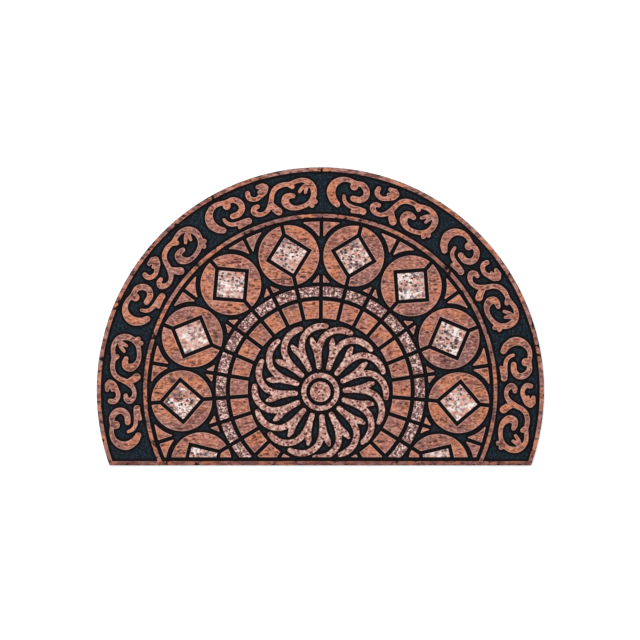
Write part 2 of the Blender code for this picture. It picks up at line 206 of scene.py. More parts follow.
# The branch, the longest stem of a scroll, runs through a hook, an arch and a curl
BRANCH_HOOK = [
    Station(0.1218, 0.3914, 0.0084),
    Station(0.1152, 0.3908, 0.0102),
    Station(0.1106, 0.3842, 0.0122),
    Station(0.1165, 0.3765, 0.0100),
    Station(0.1275, 0.3738, 0.0080),
    Station(0.1385, 0.3775, 0.0090),
    Station(0.1470, 0.3860, 0.0110),
    Station(0.1520, 0.3960, 0.0100),
]
BRANCH_ARCH = [
    Station(0.1565, 0.4070, 0.0090),
    Station(0.1650, 0.4165, 0.0095),
    Station(0.1780, 0.4210, 0.0095),
    Station(0.1940, 0.4210, 0.0084),
    Station(0.2065, 0.4245, 0.0085),
    Station(0.2180, 0.4255, 0.0090),
    Station(0.2300, 0.4205, 0.0110),
    Station(0.2375, 0.4105, 0.0120),
    Station(0.2395, 0.3975, 0.0115),
]
BRANCH_CURL = [
    Station(0.2350, 0.3850, 0.0105),
    Station(0.2250, 0.3765, 0.0090),
    Station(0.2120, 0.3720, 0.0085),
    Station(0.1990, 0.3710, 0.0090),
    Station(0.1872, 0.3750, 0.0120),
    Station(0.1798, 0.3840, 0.0158),
    Station(0.1813, 0.3938, 0.0142),
    Station(0.1890, 0.3970, 0.0118),
    Station(0.1968, 0.3960, 0.0092),
]

# A scroll is four stems, and the buds, lobes and fingers that grow from them
SCROLL_STROKES = {
    "crook": [
        Station(0.0360, 0.3770, 0.0120),
        Station(0.0265, 0.3860, 0.0150),
        Station(0.0215, 0.4020, 0.0170),
        Station(0.0265, 0.4170, 0.0145),
        Station(0.0385, 0.4265, 0.0110),
        Station(0.0520, 0.4282, 0.0088),
        Station(0.0665, 0.4240, 0.0092),
        Station(0.0810, 0.4225, 0.0110),
        Station(0.0905, 0.4125, 0.0120),
        Station(0.0910, 0.4000, 0.0120),
        Station(0.0810, 0.3920, 0.0120),
        Station(0.0670, 0.3925, 0.0110),
    ],
    "tail": [
        Station(0.0480, 0.3950, 0.0060),
        Station(0.0505, 0.3855, 0.0075),
        Station(0.0580, 0.3785, 0.0080),
        Station(0.0710, 0.3748, 0.0085),
        Station(0.0840, 0.3728, 0.0110),
        Station(0.0938, 0.3706, 0.0128),
    ],
    "cup": [
        Station(0.1118, 0.4235, 0.0090),
        Station(0.1108, 0.4158, 0.0096),
        Station(0.1150, 0.4095, 0.0090),
        Station(0.1245, 0.4065, 0.0085),
        Station(0.1340, 0.4103, 0.0094),
        Station(0.1425, 0.4160, 0.0120),
        Station(0.1455, 0.4235, 0.0145),
    ],
    "branch": BRANCH_HOOK + BRANCH_ARCH + BRANCH_CURL,
    "crook_bud": [
        Station(0.0660, 0.4212, 0.0140),
        Station(0.0656, 0.4165, 0.0150),
    ],
    "tail_lobe": [
        Station(0.0870, 0.3690, 0.0085),
        Station(0.0696, 0.3668, 0.0070),
    ],
    "cup_curl": [
        Station(0.1425, 0.4280, 0.0112),
        Station(0.1335, 0.4288, 0.0080),
    ],
    "cup_nub": [
        Station(0.1415, 0.4190, 0.0110),
        Station(0.1330, 0.4182, 0.0066),
    ],
    "branch_foot": [
        Station(0.1520, 0.3835, 0.0120),
        Station(0.1562, 0.3758, 0.0145),
        Station(0.1614, 0.3705, 0.0155),
    ],
    "branch_bud": [
        Station(0.1915, 0.4200, 0.0095),
        Station(0.1978, 0.4145, 0.0090),
    ],
    "long_finger": [
        Station(0.2310, 0.4170, 0.0080),
        Station(0.2190, 0.4115, 0.0074),
        Station(0.2106, 0.4028, 0.0060),
    ],
    "lower_lobe": [
        Station(0.2340, 0.3840, 0.0100),
        Station(0.2345, 0.3735, 0.0100),
    ],
    "short_finger": [
        Station(0.2275, 0.4150, 0.0070),
        Station(0.2243, 0.4070, 0.0070),
        Station(0.2223, 0.4002, 0.0056),
    ],
    "side_lobe": [
        Station(0.2355, 0.3870, 0.0100),
        Station(0.2422, 0.3808, 0.0088),
    ],
}


def paint(red, green, blue):
    """A colour given in display values from 0 to 255, as linear light."""
    share = np.array([red, green, blue]) / 255
    return tuple(np.where(share < 0.04045, share / 12.92, ((share + 0.055) / 1.055) ** 2.4).tolist())


# Layer of a print: clouds or flecks, their colour, how many to the metre, how many times longer than wide
# they are, the two levels between which they fade in, how strongly they cover, and the clusters to the
# metre that they keep to (0: none)
Layer = namedtuple("Layer", "kind colour per_metre stretch start full cover clusters")

PRINTS = {
    "clay_flock": [
        Layer("cloud", paint(208, 128, 84), 24, 1.4, 0.46, 0.58, 0.70, 0),
        Layer("cloud", paint(132, 96, 94), 28, 1.3, 0.54, 0.62, 0.75, 0),
        Layer("cloud", paint(220, 162, 144), 260, 1.6, 0.52, 0.58, 0.65, 0),
        Layer("cloud", paint(112, 52, 40), 260, 2.0, 0.52, 0.58, 0.72, 0),
        Layer("fleck", paint(62, 30, 26), 105, 1.6, 0.64, 0.72, 0.80, 50),
        Layer("cloud", paint(54, 34, 32), 170, 6.0, 0.57, 0.62, 0.85, 30),
    ],
    "rim_flock": [
        Layer("cloud", paint(206, 126, 88), 26, 1.4, 0.46, 0.58, 0.85, 0),
        Layer("cloud", paint(112, 80, 80), 34, 1.3, 0.54, 0.62, 0.75, 0),
        Layer("cloud", paint(196, 146, 136), 190, 2.4, 0.52, 0.58, 0.55, 0),
        Layer("cloud", paint(84, 44, 42), 170, 2.4, 0.51, 0.57, 0.75, 0),
        Layer("fleck", paint(34, 16, 18), 80, 1.6, 0.68, 0.76, 0.80, 40),
    ],
    "granite_flock": [
        Layer("cloud", paint(244, 214, 206), 250, 1.2, 0.50, 0.55, 0.90, 0),
        Layer("cloud", paint(60, 30, 32), 240, 1.2, 0.51, 0.56, 0.88, 0),
        Layer("fleck", paint(44, 22, 24), 170, 1.2, 0.68, 0.76, 0.90, 0),
    ],
    "rose_flock": [
        Layer("cloud", paint(242, 204, 190), 240, 1.2, 0.51, 0.55, 0.80, 0),
        Layer("cloud", paint(130, 74, 62), 225, 1.2, 0.52, 0.57, 0.80, 0),
        Layer("fleck", paint(88, 32, 28), 112, 1.2, 0.62, 0.68, 0.95, 0),
    ],
    "marble_flock": [
        Layer("cloud", paint(252, 240, 234), 66, 1.2, 0.48, 0.56, 0.85, 0),
        Layer("cloud", paint(214, 134, 106), 120, 1.3, 0.54, 0.61, 0.75, 0),
        Layer("cloud", paint(132, 92, 90), 230, 1.3, 0.53, 0.58, 0.75, 0),
        Layer("cloud", paint(74, 66, 80), 150, 1.3, 0.51, 0.58, 0.80, 26),
        Layer("fleck", paint(30, 20, 26), 130, 1.3, 0.58, 0.66, 0.92, 26),
    ],
}

# How a print ends at the edge of a piece: the share of painted edge highlight there, and how unevenly the
# rubber shows beside it, in millimetres of height. Then the colour towards which some elements lean, and by
# how much.
EdgeHighlightAndTint = namedtuple("EdgeHighlightAndTint", "edge uneven leaning_colour leaning")

EDGE_HIGHLIGHTS_AND_TINTS = {
    "clay_flock": EdgeHighlightAndTint(0.60, 0.6, paint(136, 96, 90), 0.85),
    "rim_flock": EdgeHighlightAndTint(0.20, 2.6, paint(120, 84, 84), 0.00),
    "granite_flock": EdgeHighlightAndTint(0.15, 0.6, paint(134, 88, 84), 0.50),
    "rose_flock": EdgeHighlightAndTint(0.15, 0.6, paint(180, 122, 108), 0.40),
    "marble_flock": EdgeHighlightAndTint(0.25, 0.6, paint(186, 128, 108), 0.80),
}

# The two levels between which something rises from none to all
Fade = namedtuple("Fade", "start full")

# What sets the prints of elements and of layers apart in the noise, how the leaning and the clusters are
# drawn, and how the outlines of flecks are roughened
ELEMENT_SHIFT = 40.0
LAYER_SHIFT = 3.7
CLUSTER_SHIFT = 1.9
LEANING_DRAW = 7.3
LEANING_FADE = Fade(0.4, 1.0)
CLUSTER_FADE = Fade(0.46, 0.56)
FLECK_EDGE_PER_METRE = 260
FLECK_EDGE_REACH = 0.0008

# The flock's nap, its painted edge highlight in millimetres from the outline, and the uneven line, in
# metres above the floor, below which the rubber shows
NAP_PER_METRE = 1800
NAP_FADE = Fade(0.3, 0.7)
NAP_COVER = 0.18
NAP_SHADE = 0.45
EDGE_HIGHLIGHT_FADE_MM = Fade(0.6, 2.0)
RUBBER_LINE_FADE = Fade(0.00655, 0.00675)
RUBBER_LINE_SWINGS_PER_METRE = 80

# The band along the straight edge is darker and redder than the rest
STRAIGHT_BAND_COLOUR = paint(100, 48, 42)
STRAIGHT_BAND_COVER = 0.45
STRAIGHT_BAND_FADE = Fade(STRAIGHT_BAND_TOP_Y + 0.002, STRAIGHT_BAND_TOP_Y - 0.001)

# Mottle of the bare rubber, in the columns of a print's layer, with the seed of its noise
Mottle = namedtuple("Mottle", "kind colour per_metre start full cover seed")

MOTTLES = [
    Mottle("cloud", paint(34, 34, 44), 60, 0.42, 0.62, 0.60, 0.0),
    Mottle("cloud", paint(20, 50, 58), 170, 0.52, 0.62, 0.60, 3.0),
    Mottle("cloud", paint(8, 12, 18), 230, 0.51, 0.58, 0.80, 5.0),
    Mottle("fleck", paint(84, 92, 102), 150, 0.76, 0.88, 0.40, 7.0),
]
# Painted shade: the distances from the raised pieces, in millimetres, over which the nearly black groove
# colour gives way to the rubber's colour
PAINTED_GROOVE_SHADE_FADE_MM = Fade(2.6, 5.6)
CRUMB_PER_METRE = 700

# Stage: half the floor's width, its squares along a side and its grain, what the camera looks at, and the
# key light
FLOOR_REACH = 6.0
FLOOR_SQUARES = 24
FLOOR_GRAIN_PER_METRE = 40
FLOOR_GRAIN_FADE = Fade(0.2, 0.8)
FLOOR_GRAIN_COVER = 0.03
FLOOR_GRAIN_COLOUR = (0.85, 0.85, 0.85)
WHITE = (1, 1, 1, 1)
VIEW_CENTRE = (-0.0007, -0.0074)
KEY_LIGHT_PLACE = (-1.6, 1.8, 3.0)
KEY_LIGHT_WIDTH = 2.2
SENSOR_WIDTH_MM = 36.0


class DoormatSizes(bpy.types.PropertyGroup):
    corner_radius: FloatProperty(
        name="Corner radius",
        description="Least radius of a corner of a raised piece, seen from above",
        default=0.0008,
        min=0.0004,
        max=0.004,
        unit="LENGTH",
    )
    ground_step: FloatProperty(
        name="Ground step",
        description="Distance between the points of the ground's mesh",
        default=0.004,
        min=0.002,
        max=0.02,
        unit="LENGTH",
    )


def colour_property(name, description, default):
    """A colour in linear light that the panel offers."""
    return FloatVectorProperty(name=name, description=description, default=default, subtype="COLOR")


class DoormatColours(bpy.types.PropertyGroup):
    rubber: colour_property(
        "Rubber", "Colour of the bare rubber in the wide parts of the ground", paint(22, 33, 42)
    )
    # Painted shade: the nearly black colour of the rubber in the grooves, beside the raised pieces and on
    # their sides
    rubber_in_painted_shade: colour_property(
        "Groove", "Colour of the rubber in the grooves and beside the raised pieces", paint(19, 12, 13)
    )
    clay: colour_property(
        "Clay flock", "Main colour of the scrolls, the roundels and the broad tiles", paint(175, 113, 97)
    )
    granite: colour_property("Granite flock", "Main colour of the narrow tiles", paint(158, 110, 104))
    rose: colour_property("Rose flock", "Main colour of the whorl and its hub", paint(186, 142, 132))
    marble: colour_property(
        "Marble flock", "Main colour of the squares in the roundels", paint(216, 180, 170)
    )
    rim: colour_property(
        "Rim flock", "Main colour of the rim, the ring line and the straight band", paint(152, 102, 93)
    )
    # Painted highlight: the lighter colour laid along the edge of every raised piece
    edge: colour_property(
        "Flock edge",
        "Colour of the flock where it turns over the edge of a raised piece",
        paint(205, 160, 152),
    )


class StudioSettings(bpy.types.PropertyGroup):
    view_width: FloatProperty(
        name="View width",
        description="Width of the picture, measured on top of the mat",
        default=1.2872,
        unit="LENGTH",
    )
    camera_height: FloatProperty(
        name="Camera height",
        description="Height of the camera above the mat",
        default=3.2,
        unit="LENGTH",
    )
    sky: FloatProperty(
        name="Sky",
        description="Strength of the even white light from all round",
        default=0.84,
        min=0,
    )
    key_power: FloatProperty(
        name="Key light",
        description="Power of the large soft light above the mat",
        default=60.0,
        min=0,
        unit="POWER",
    )
    floor: colour_property("Floor", "Colour of the plain floor", (0.97, 0.97, 0.97))
    floor_glow: FloatProperty(
        name="Floor glow",
        description="How strongly the floor shines by itself, which keeps the ground round the mat white",
        default=0.3,
        min=0,
    )


def place(degrees, radius):
    """Points on the mat, from degrees clockwise from +Y and radii from the arc's centre."""
    angle = np.radians(degrees)
    return np.stack([radius * np.sin(angle), CENTRE_Y + radius * np.cos(angle)], axis=-1)


def arc(radius, start_degrees, end_degrees):
    """Points along an arc about the pattern's centre, about a chord apart, both ends included."""
    length = radius * math.radians(abs(end_degrees - start_degrees))
    return place(np.linspace(start_degrees, end_degrees, math.ceil(length / CHORD) + 1), radius)


def arc_above(radius, level_y):
    """The arc of this radius above a level line below the centre, clockwise."""
    reach = 90 + math.degrees(math.asin((CENTRE_Y - level_y) / radius))
    return arc(radius, -reach, reach)


def full_circle(radius):
    """A closed circle about the pattern's centre."""
    return arc(radius, 0, 360)[:-1]


def turned(points, degrees):
    """Points turned clockwise about the pattern's centre."""
    angle = math.radians(degrees)
    x, y = points[:, 0], points[:, 1] - CENTRE_Y
    across = x * math.cos(angle) + y * math.sin(angle)
    along = y * math.cos(angle) - x * math.sin(angle)
    return np.stack([across, CENTRE_Y + along], axis=-1)


def signed_area(outline):
    """Half the sum of the cross products of neighbouring points: positive where it runs anticlockwise."""
    x, y = outline[:, 0], outline[:, 1]
    return 0.5 * float(np.sum(x * np.roll(y, -1) - np.roll(x, -1) * y))


def anticlockwise(outline):
    """The outline, or its points in reverse where it runs clockwise."""
    return outline if signed_area(outline) > 0 else outline[::-1]


def first_and_count(lists):
    """For a list of short lists: all their members in a row, where each list starts, and its length."""
    counts = np.fromiter(map(len, lists), int, len(lists))
    members = np.fromiter(chain.from_iterable(lists), int, int(counts.sum()))
    return members, np.cumsum(counts) - counts, counts


def triangulated(outlines, loose=None):
    """Constrained Delaunay triangles inside outlines, all their corners and the loose points being points.

    Gives the points, the triangles anticlockwise, which outlines cover which triangle as a table of yes and
    no, and for each point its place among the input's points, or -1 for a crossing.
    """
    starts = np.cumsum([0] + [len(outline) for outline in outlines])
    given = np.vstack(outlines if loose is None else [*outlines, loose])
    faces = [list(range(start, end)) for start, end in zip(starts, starts[1:])]
    made = delaunay_2d_cdt(given.tolist(), [], faces, KEEP_INSIDE, SAME_POINT, True)
    points = np.array([tuple(point) for point in made[0]])
    triangles = np.array(made[2], dtype=int).reshape(-1, 3)
    owner, _, counts = first_and_count(made[5])
    covered = np.zeros((len(triangles), len(outlines)), bool)
    covered[np.repeat(np.arange(len(triangles)), counts), owner] = True
    sources, first, counts = first_and_count(made[3])
    sources = np.append(sources, -1)
    source = np.where(counts > 0, sources[np.minimum(first, len(sources) - 1)], -1)
    corner = points[triangles]
    side, other = corner[:, 1] - corner[:, 0], corner[:, 2] - corner[:, 0]
    clockwise = side[:, 0] * other[:, 1] < side[:, 1] * other[:, 0]
    triangles[clockwise] = triangles[clockwise][:, ::-1]
    return points, triangles, covered, source


def cycles(following):
    """The cycles of a permutation, each as its members in order.

    Each member's pointer is doubled again and again. That carries the smallest member round its cycle, as
    the cycle's head, and counts the steps that are left from each member to the one before the head.
    """
    everyone = np.arange(len(following))
    rounds = len(following).bit_length()
    head, jump = everyone, following
    for _ in range(rounds):
        head = np.minimum(head, head[jump])
        jump = jump[jump]
    last = following == head
    jump = np.where(last, everyone, following)
    steps_left = (~last).astype(int)
    for _ in range(rounds):
        steps_left = steps_left + steps_left[jump]
        jump = jump[jump]
    order = np.lexsort((-steps_left, head))
    cuts = np.flatnonzero(np.diff(head[order])) + 1
    return np.split(order, cuts)


def edge_rings(points, triangles):
    """The closed rings round a patch of triangles: the sides that no neighbour shares, end to start."""
    sides = np.concatenate([triangles[:, [0, 1]], triangles[:, [1, 2]], triangles[:, [2, 0]]])
    forward = sides[:, 0] * len(points) + sides[:, 1]
    backward = sides[:, 1] * len(points) + sides[:, 0]
    border = sides[~np.isin(forward, backward)]
    following = np.empty(len(border), int)
    following[np.argsort(border[:, 1], kind="stable")] = np.argsort(border[:, 0], kind="stable")
    return [points[border[cycle, 0]] for cycle in cycles(following)]


def merged(outlines, removed=()):
    """The rings round the area of some outlines without the area of others. Holes run clockwise.

    Slivers that the meeting of two curves leaves are dropped.
    """
    outlines = [anticlockwise(outline) for outline in outlines]
    removed = [anticlockwise(outline) for outline in removed]
    points, triangles, covered, _ = triangulated(outlines + removed)
    inside = covered[:, : len(outlines)].any(axis=1) & ~covered[:, len(outlines) :].any(axis=1)
    rings = edge_rings(points, triangles[inside])
    return [ring for ring in rings if abs(signed_area(ring)) > SMALLEST_AREA]


def kept_above(outline, level_y):
    """The rings of an outline's area above a level line."""
    if outline[:, 1].min() >= level_y:
        return [anticlockwise(outline)]
    if outline[:, 1].max() <= level_y:
        return []
    left, bottom = outline.min(axis=0) - OUTER_RADIUS
    right = outline[:, 0].max() + OUTER_RADIUS
    below = np.array([(left, bottom), (right, bottom), (right, level_y), (left, level_y)])
    return merged([outline], [below])


def smooth_line(rows):
    """A Catmull-Rom curve through rows of numbers, with SPINE_SAMPLES points in each span."""
    rows = np.array(rows, float)
    knots = np.vstack([2 * rows[0] - rows[1], rows, 2 * rows[-1] - rows[-2]])
    a, b, c, d = (knots[shift : shift + len(rows) - 1, None] for shift in range(4))
    t = np.linspace(0, 1, SPINE_SAMPLES, endpoint=False)[None, :, None]
    cubic = (3 * b - a - 3 * c + d) * t**3
    square = (2 * a - 5 * b + 4 * c - d) * t**2
    curve = 0.5 * (cubic + square + (c - a) * t + 2 * b)
    return np.vstack([curve.reshape(-1, rows.shape[1]), rows[-1:]])


def stroke_cover(rows):
    """Triangles and discs that cover a round-ended stroke, whose rows are x, y and width.

    The spine is a smooth line. Its two sides lie half a width to the left and right of it, and each stretch
    between two points of the spine gives two triangles. A disc rounds off either end.
    """
    line = smooth_line(rows)
    spine, half = line[:, :2], line[:, 2:] / 2
    heading = np.gradient(spine, axis=0)
    heading /= np.linalg.norm(heading, axis=1)[:, None]
    left = np.stack([-heading[:, 1], heading[:, 0]], axis=1)
    a, b = spine + left * half, spine - left * half
    corners = np.concatenate(
        [np.stack([a[:-1], b[:-1], b[1:]], axis=1), np.stack([a[:-1], b[1:], a[1:]], axis=1)]
    )
    side, other = corners[:, 1] - corners[:, 0], corners[:, 2] - corners[:, 0]
    double_area = side[:, 0] * other[:, 1] - side[:, 1] * other[:, 0]
    corners = np.where(double_area[:, None, None] < 0, corners[:, ::-1], corners)
    triangles = list(corners[np.abs(double_area) > SMALLEST_TRIANGLE])
    turn = np.linspace(0, 2 * math.pi, CAP_POINTS, endpoint=False)
    disc = np.stack([np.cos(turn), np.sin(turn)], axis=1)
    return triangles + [spine[0] + disc * half[0], spine[-1] + disc * half[-1]]


def evenly_spaced(ring, step, bend_weight):
    """Points along a closed ring, a step apart, where each radian of bend counts as so many metres more."""
    legs = np.roll(ring, -1, axis=0) - ring
    before = np.roll(legs, 1, axis=0)
    bend = np.abs(
        np.arctan2(before[:, 0] * legs[:, 1] - before[:, 1] * legs[:, 0], (before * legs).sum(axis=1))
    )
    weight = np.linalg.norm(legs, axis=1) + bend_weight * (bend + np.roll(bend, -1)) / 2
    travelled = np.concatenate([[0], np.cumsum(weight)])
    count = max(FEWEST_POINTS, round(travelled[-1] / step))
    wanted = np.linspace(0, travelled[-1], count, endpoint=False)
    closed = np.vstack([ring, ring[:1]])
    return np.stack([np.interp(wanted, travelled, column) for column in closed.T], axis=1)


def eased(ring, radius):
    """A ring whose corners are nowhere tighter than a radius.

    Points lie close together along it. Where one stands further from the middle of its two neighbours than
    the sagitta of an arc of that radius, the square of their distance over eight radii, it moves half-way
    there, again and again.
    """
    ring = evenly_spaced(ring, FINE_STEP, 0)
    for _ in range(EASING_ROUNDS):
        before, after = np.roll(ring, 1, axis=0), np.roll(ring, -1, axis=0)
        pull = (before + after) / 2 - ring
        sagitta = ((after - before) ** 2).sum(axis=1) / (8 * radius)
        tight = np.linalg.norm(pull, axis=1) > sagitta
        ring = ring + 0.5 * pull * tight[:, None]
    return evenly_spaced(ring, OUTLINE_STEP, OUTLINE_BEND_WEIGHT)


def finished(elements):
    """Raised elements, each a list of rings, with their corners eased."""
    radius = bpy.context.scene.doormat_sizes.corner_radius
    return [[eased(ring, radius) for ring in rings] for rings in elements if rings]


def border_ground():
    """The low ground of the scroll border, between the rim, the ring line and the straight band."""
    outer = arc_above(RIM_INNER_RADIUS, STRAIGHT_BAND_TOP_Y)
    inner = arc_above(RING_LINE_OUTER_RADIUS, STRAIGHT_BAND_TOP_Y)
    return np.vstack([outer, inner[::-1]])


def mat_outline():
    """The outside of the mat: its arc, closed by the straight edge."""
    return arc_above(OUTER_RADIUS, STRAIGHT_EDGE_Y)


@functools.cache
def frame_elements():
    """The rim, ring line and straight band, which hang together: the mat without its low grounds."""
    field = arc_above(RING_LINE_INNER_RADIUS, STRAIGHT_BAND_TOP_Y)
    holes = [anticlockwise(outline)[::-1] for outline in (border_ground(), field)]
    return finished([[anticlockwise(mat_outline()), *holes]])


@functools.cache
def scroll_elements():
    """The scrolls: the strokes are merged once, and the repeat is then bent round the arc."""
    repeat = merged(list(chain.from_iterable(map(stroke_cover, SCROLL_STROKES.values()))))
    elements = []
    for index in range(SCROLL_COUNT):
        start_degrees = (index - SCROLL_COUNT / 2) * SCROLL_PITCH_DEG
        elements.append(
            [place(start_degrees + np.degrees(r[:, 0] / SCROLL_MID_RADIUS), r[:, 1]) for r in repeat]
        )
    return finished(elements)


def beside(degrees, outward, across):
    """Points given outward along the radial line at these degrees, and across it clockwise."""
    angle = math.radians(degrees)
    x = outward * math.sin(angle) + across * math.cos(angle)
    y = outward * math.cos(angle) - across * math.sin(angle)
    return np.stack([x, CENTRE_Y + y], axis=-1)


def roundel_degrees():
    """The radial joints that the roundels stand on."""
    return PATTERN_TURN_DEG + (np.arange(ROUNDEL_COUNT) + 0.5 - ROUNDEL_COUNT / 2) * ROUNDEL_PITCH_DEG


def roundel_half(degrees, side):
    """Half a roundel, on one side of its radial joint, notched by the frame of its square."""
    joint = RADIAL_GROOVE_WIDTH / 2
    start = math.asin(joint / ROUNDEL_RADIUS)
    count = math.ceil(math.pi * ROUNDEL_RADIUS / CHORD)
    turn = np.linspace(start, math.pi - start, count + 1)
    reach = SQUARE_FRAME_HALF_DIAGONAL
    outward = np.concatenate([ROUNDEL_RADIUS * np.cos(turn), [joint - reach, 0, reach - joint]])
    across = np.concatenate([ROUNDEL_RADIUS * np.sin(turn), [joint, reach, joint]])
    return beside(degrees, ROUNDEL_CENTRE_RADIUS + outward, side * across)


def corner_piece(degrees, side, edge_radius):
    """The three-cornered piece between a roundel, the joint beside it and the circle of edge_radius."""
    half_pitch = math.radians(ROUNDEL_PITCH_DEG / 2)
    joint = RADIAL_GROOVE_WIDTH / 2
    hollow, centre = CORNER_PIECE_ARC_RADIUS, ROUNDEL_CENTRE_RADIUS
    outside = math.copysign(1, edge_radius - centre)
    # Where the hollow side meets the edge circle, and where it meets the joint
    tip = math.acos((edge_radius**2 - centre**2 - hollow**2) / (2 * centre * hollow))
    away = centre * math.sin(half_pitch) - joint
    root = half_pitch + math.pi / 2 - outside * math.acos(away / hollow)
    turn = np.linspace(tip, root, math.ceil(abs(root - tip) * hollow / CHORD) + 1)
    hollow_side = beside(degrees, centre + hollow * np.cos(turn), side * hollow * np.sin(turn))
    tip_degrees = math.degrees(math.atan2(hollow * math.sin(tip), centre + hollow * math.cos(tip)))
    joint_degrees = ROUNDEL_PITCH_DEG / 2 - math.degrees(math.asin(joint / edge_radius))
    edge = arc(edge_radius, degrees + side * joint_degrees, degrees + side * tip_degrees)
    return np.vstack([hollow_side, edge[:-1]])


@functools.cache
def roundel_elements():
    """The two halves of every roundel."""
    places = product(roundel_degrees(), (-1, 1))
    return finished([kept_above(roundel_half(*one), PATTERN_BOTTOM_Y) for one in places])


@functools.cache
def corner_elements():
    """The three-cornered pieces, four round each roundel."""
    radii = (CORNER_PIECE_OUTER_RADIUS, CORNER_PIECE_INNER_RADIUS)
    places = product(roundel_degrees(), (-1, 1), radii)
    return finished([kept_above(corner_piece(*one), PATTERN_BOTTOM_Y) for one in places])


@functools.cache
def square_elements():
    """The squares set on their corners in the roundels."""
    turn = np.radians(np.arange(0, 360, 90))
    outward, across = SQUARE_HALF_DIAGONAL * np.cos(turn), SQUARE_HALF_DIAGONAL * np.sin(turn)
    centre = ROUNDEL_CENTRE_RADIUS
    squares = [beside(degrees, centre + outward, across) for degrees in roundel_degrees()]
    return finished([kept_above(square, PATTERN_BOTTOM_Y) for square in squares])


@functools.cache
def tile_elements(radii):
    """The tiles of a ring, each from a joint to the next, with sides parallel to the radial joints."""
    elements = []
    for index in range(-TILE_COUNT // 2, TILE_COUNT // 2):
        joint_degrees = PATTERN_TURN_DEG + index * TILE_PITCH_DEG
        edges = []
        for radius in radii:
            joint = math.degrees(math.asin(RADIAL_GROOVE_WIDTH / 2 / radius))
            edges.append(arc(radius, joint_degrees + joint, joint_degrees + TILE_PITCH_DEG - joint))
        elements.append(kept_above(np.vstack([edges[1], edges[0][::-1]]), PATTERN_BOTTOM_Y))
    return finished(elements)


@functools.cache
def whorl_elements():
    """The leaves, each an arm and a lobe merged once and turned into place, and the hub's ring and disc."""
    covers = []
    for rows in LEAF_STROKES.values():
        covers += stroke_cover([(*place(row.degrees, row.radius), row.width) for row in rows])
    (leaf,) = merged(covers)
    leaves = [turned(leaf, LEAF_TURN_DEG + 360 / LEAF_COUNT * index) for index in range(LEAF_COUNT)]
    elements = [[ring] for leaf in leaves for ring in kept_above(leaf + WHORL_SHIFT, PATTERN_BOTTOM_Y)]
    radii = (*HUB_RING_RADII, HUB_DISC_RADIUS)
    hole, edge, disc = (anticlockwise(full_circle(radius)) + WHORL_SHIFT for radius in radii)
    elements += [[edge, hole[::-1]], [disc]]
    return finished(elements)


def all_elements():
    """Every raised element that stands on the ground inside the rim, and the frame lines with their rim."""
    tiles = tile_elements(GRANITE_TILE_RADII) + tile_elements(CLAY_TILE_RADII)
    mosaic = roundel_elements() + corner_elements() + square_elements() + tiles + whorl_elements()
    return frame_elements() + scroll_elements() + mosaic


def linked(rings):
    """All rings' points in one table, with the place of the point before and after each one on its ring."""
    sizes = np.array([len(ring) for ring in rings])
    start = np.repeat(np.cumsum(sizes) - sizes, sizes)
    size = np.repeat(sizes, sizes)
    place_on_ring = np.arange(sizes.sum()) - start
    before = start + (place_on_ring - 1) % size
    after = start + (place_on_ring + 1) % size
    return np.vstack(rings), before, after


def outward_steps(points, before, after):
    """For each point of anticlockwise rings, the step that moves both sides there outward by one metre.

    It is the sum of the two sides' normals over one plus their dot product.
    """
    legs = points[after] - points
    legs /= np.linalg.norm(legs, axis=1)[:, None]
    normal = np.stack([legs[:, 1], -legs[:, 0]], axis=1)
    previous = normal[before]
    return (normal + previous) / (1 + (normal * previous).sum(axis=1))[:, None]


def room_inside(points, steps, fine_points):
    """For each point of an element's rings, the radius of the largest disc inside that touches it.

    It is the least, over the other points, of the squared distance to one over twice that distance's part
    along the inward normal. The rings' corners count, and the fine points along them from a distance on.
    """
    inward = -steps / np.linalg.norm(steps, axis=1)[:, None]

    def least(others, from_distance):
        gap = others[None] - points[:, None]
        squared, along = (gap**2).sum(axis=2), (gap * inward[:, None]).sum(axis=2)
        ahead = (along > SAME_POINT) & (squared > from_distance**2)
        return np.where(ahead, squared / (2 * np.maximum(along, SAME_POINT)), np.inf).min(axis=1)

    return np.minimum(least(points, 0), least(fine_points, ROOM_FROM))


def carried(elements, profile_of_ring):
    """A profile carried along the rings of elements: a grid of points, one row for each row of the profile.

    A point moves outward from its ring by the row's outward distance and stands at the row's height. Where
    an element is narrow, the rows inside the ring draw nearer to it, so they stay within the room there.
    The faces are the grid's quads, and face away from the inside of the rings.
    """
    rings = list(chain.from_iterable(elements))
    points, before, after = linked(rings)
    steps = outward_steps(points, before, after)
    ends = np.cumsum([sum(map(len, element)) for element in elements])
    spans = [slice(start, end) for start, end in zip([0, *ends[:-1]], ends)]
    fine = [np.vstack([evenly_spaced(ring, ROOM_STEP, 0) for ring in element]) for element in elements]
    room = np.concatenate([room_inside(points[s], steps[s], around) for s, around in zip(spans, fine)])
    columns = np.array(profile_of_ring, float) / 1000
    rows = np.repeat(columns, [len(ring) for ring in rings], axis=0).transpose(1, 2, 0)
    outward, height = rows[:, 0], rows[:, 1]
    deepest = -outward.min(axis=0)
    nearer = np.minimum(1, INSET_SHARE * room / deepest)
    outward = np.where(outward < 0, outward * nearer, outward)
    plan = points + outward[:, :, None] * steps
    grid = np.concatenate([plan, height[:, :, None]], axis=2)
    level = len(points) * np.arange(len(rows) - 1)[:, None]
    here, there = level + np.arange(len(points)), level + after
    quads = np.stack([here, there, there + len(points), here + len(points)], axis=2)
    return grid, quads.reshape(-1, 4), outward


